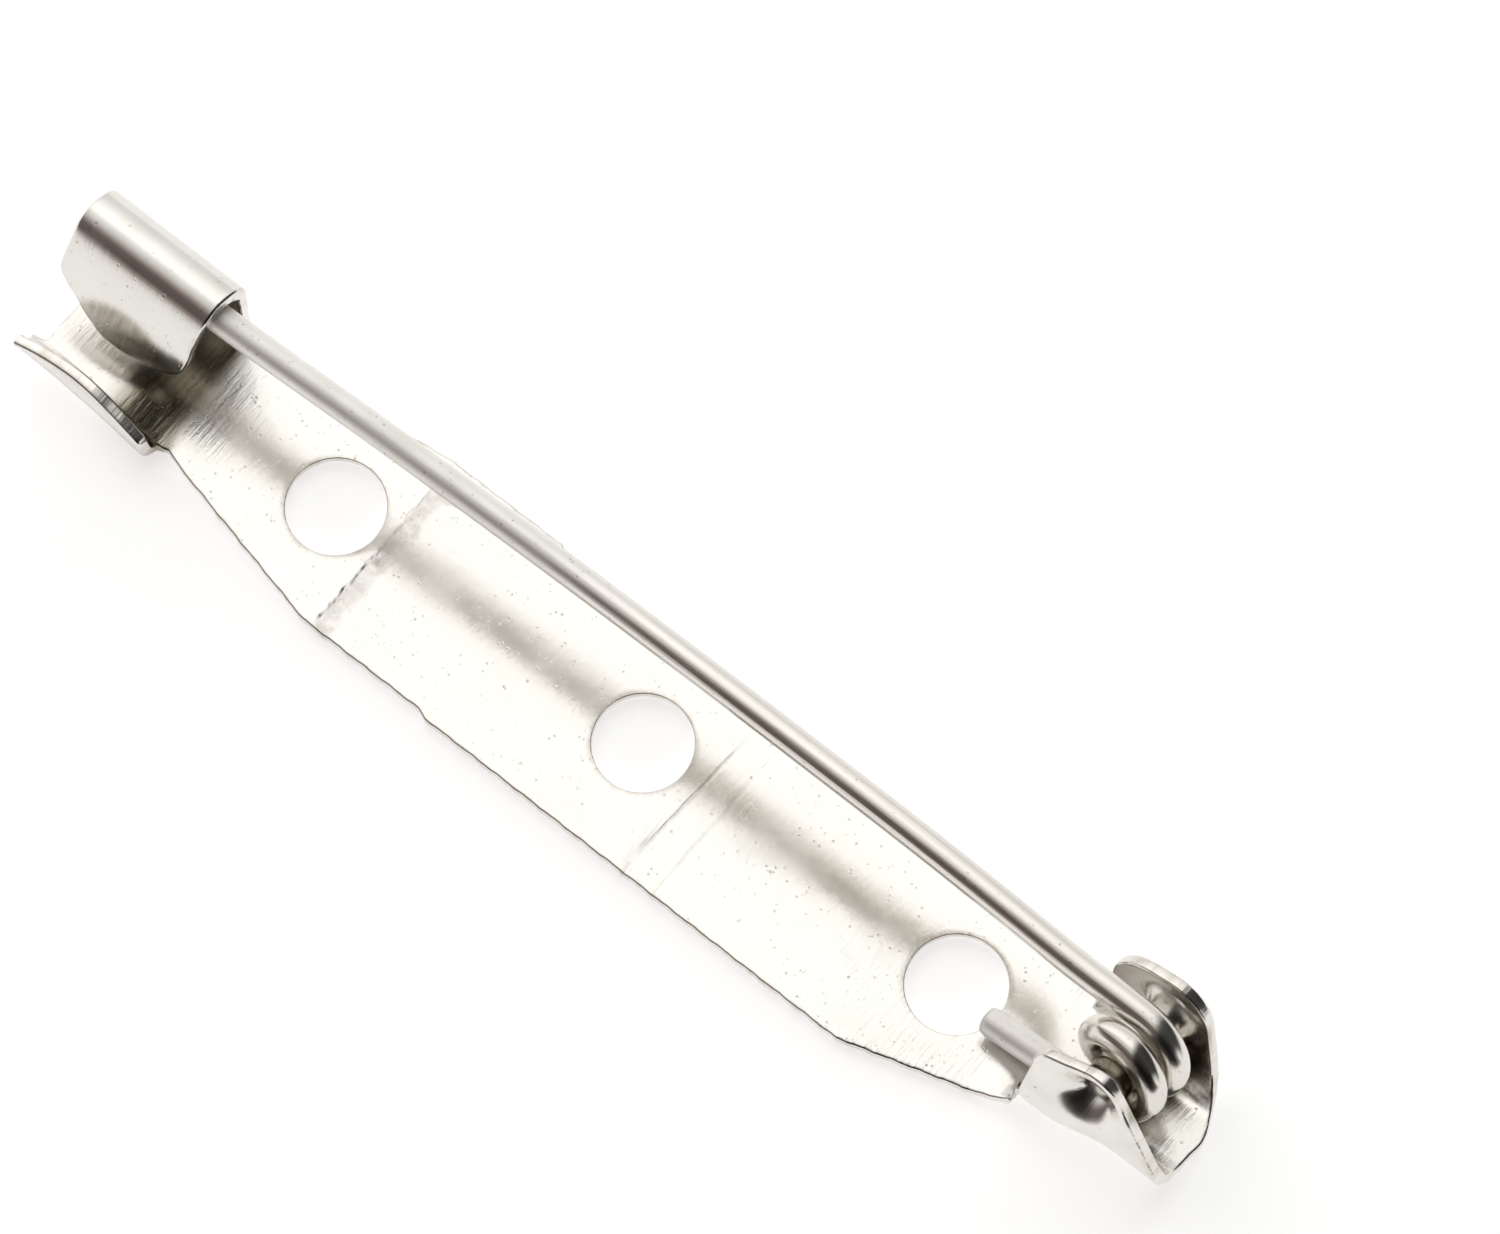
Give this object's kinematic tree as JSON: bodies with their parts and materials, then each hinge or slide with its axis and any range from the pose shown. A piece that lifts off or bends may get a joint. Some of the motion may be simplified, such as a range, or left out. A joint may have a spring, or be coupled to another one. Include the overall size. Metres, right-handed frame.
{
  "type": "brooch pin finding",
  "caption": "Bar pin back for a brooch: a drilled sheet bar with a curled catch and two ears, and a coiled spring wire pin that swings open.",
  "frame": {"origin": "axis of the middle hole at the bar's flat back face", "axes": "+X along the bar to the hinge, +Z away from the back face towards the pin, +Y to the side over which the pin lies"},
  "size_m": [0.0375, 0.0061, 0.0047],
  "materials": {
    "plated_sheet": "bright nickel plate over brushed pressed steel",
    "plated_wire": "bright nickel plate on drawn spring wire"
  },
  "bodies": {
    "bar": {"bar": "plated_sheet"},
    "pin": {"pin": "plated_wire"}
  },
  "joints": [
    {"name": "pin_hinge", "type": "hinge", "parent": "bar", "child": "pin", "pos_m": [0.0155, 0.00091, 0.00249], "axis": [0, 0.9744, -0.225], "range_deg": [0, 150]}
  ]
}
